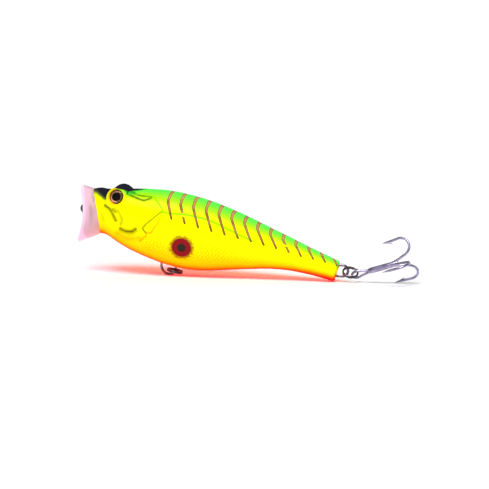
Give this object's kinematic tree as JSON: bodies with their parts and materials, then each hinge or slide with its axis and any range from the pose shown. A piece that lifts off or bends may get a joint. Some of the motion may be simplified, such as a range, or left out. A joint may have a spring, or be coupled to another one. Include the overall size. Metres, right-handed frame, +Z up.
{
  "type": "topwater popper",
  "caption": "Hollow surface fishing lure with a cupped mouth, wire line tie, belly and tail hangers, split rings and a treble hook.",
  "frame": {"origin": "on the surface the lure lies on, under the middle of its overall box", "axes": "+X from the mouth to the treble hook, +Z up through the back, -Y out of the lure's left side"},
  "size_m": [0.0985, 0.0164, 0.0251],
  "materials": {
    "body_paint": "clear-coated fluorescent paint, green back to yellow side to red-orange belly",
    "cup_plastic": "translucent pinkish moulded plastic",
    "eye_foil": "printed copper and gold foil with black pupil",
    "eye_lens": "clear domed resin",
    "hanger_wire": "bright dark nickel",
    "ring_steel": "bright dark nickel",
    "hook_steel": "tinned steel",
    "ball_steel": "polished",
    "ballast_metal": "dull",
    "rattle_tube_metal": "drawn tube",
    "rattle_plug_plastic": "moulded"
  },
  "bodies": {
    "lure_body": {"body_shell_left": "body_paint", "body_shell_right": "body_paint", "mouth_cup": "cup_plastic", "eye_foil_left": "eye_foil", "eye_foil_right": "eye_foil", "eye_lens_left": "eye_lens", "eye_lens_right": "eye_lens", "line_tie": "hanger_wire", "belly_hanger": "hanger_wire", "tail_hanger": "hanger_wire", "belly_ballast": "ballast_metal", "tail_ballast": "ballast_metal", "rattle_tube": "rattle_tube_metal", "rattle_plug_front": "rattle_plug_plastic", "rattle_plug_rear": "rattle_plug_plastic"},
    "belly_ring": {"belly_split_ring": "ring_steel"},
    "tail_ring": {"tail_split_ring": "ring_steel"},
    "treble": {"treble_hook": "hook_steel"},
    "loose_weight": {"casting_weight": "ball_steel"},
    "loose_beads": {"rattle_bead_1": "ball_steel", "rattle_bead_2": "ball_steel", "rattle_bead_3": "ball_steel"}
  },
  "joints": [
    {"name": "belly_ring_swing", "type": "hinge", "parent": "lure_body", "child": "belly_ring", "pos_m": [-0.02335, 0, 0.00175], "axis": [0, 1, 0], "range_deg": [0, 140]},
    {"name": "tail_ring_swing", "type": "hinge", "parent": "lure_body", "child": "tail_ring", "pos_m": [0.0285, 0, 0.0033], "axis": [0, 0, 1], "range_deg": [-45, 45]},
    {"name": "treble_swing", "type": "hinge", "parent": "tail_ring", "child": "treble", "pos_m": [0.03139, 0, 0.00242], "axis": [0.121, 0.866, 0.4851], "range_deg": [-45, 45]},
    {"name": "casting_weight_roll", "type": "slide", "parent": "lure_body", "child": "loose_weight", "axis": [-0.9984, 0, 0.0558], "range_m": [0, 0.01703]},
    {"name": "rattle_beads_shake", "type": "slide", "parent": "lure_body", "child": "loose_beads", "axis": [1, 0, 0], "range_m": [-0.00135, 0.00135]}
  ]
}
